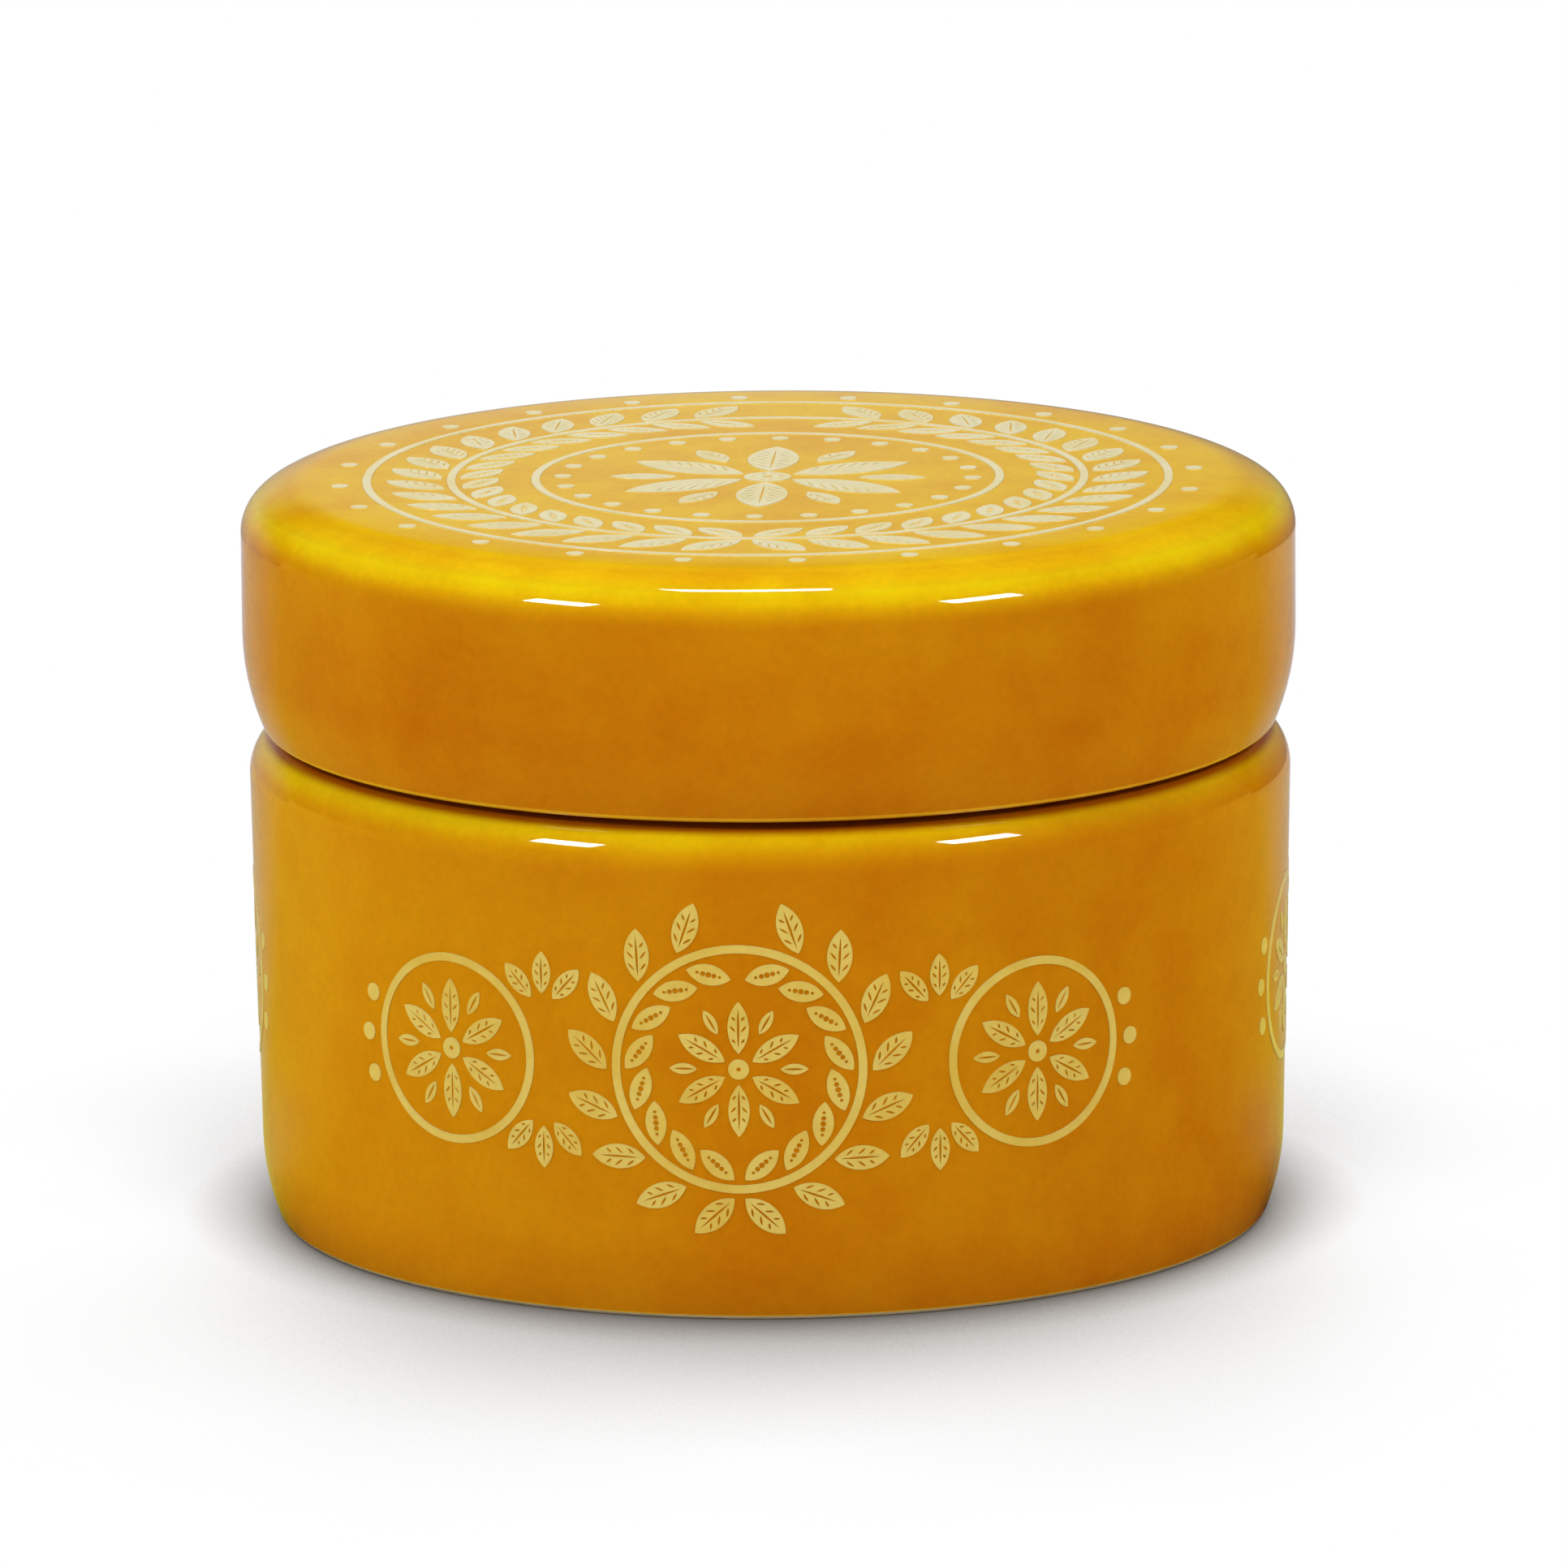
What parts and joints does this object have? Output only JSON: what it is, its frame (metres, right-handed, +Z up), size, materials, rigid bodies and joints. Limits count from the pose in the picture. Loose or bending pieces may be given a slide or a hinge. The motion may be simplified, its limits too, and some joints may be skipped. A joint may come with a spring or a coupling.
{
  "type": "lidded ceramic box",
  "caption": "Round glazed ceramic box with straight walls, a rounded shoulder and a flat-topped lift-off lid held by a locating ring, with printed leaf ornament.",
  "frame": {"origin": "middle of the circle that the foot ring stands on", "axes": "+Z up along the box's axis of turning, -Y towards the middle of the front print, +X to the right seen from the front"},
  "size_m": [0.09, 0.09, 0.0636],
  "materials": {
    "mustard_glaze": "glossy mustard-yellow glaze with faint mottling and specks, bare clay on the foot ring and the seating ledge",
    "cream_print": "glossy cream transfer fired onto the glaze"
  },
  "bodies": {
    "base": {"base": "mustard_glaze", "base_print_front": "cream_print", "base_print_right": "cream_print", "base_print_left": "cream_print"},
    "lid": {"lid": "mustard_glaze", "lid_print": "cream_print"}
  },
  "joints": [
    {"name": "lid_lift", "type": "slide", "parent": "base", "child": "lid", "axis": [0, 0, 1], "range_m": [0, 0.07]}
  ]
}
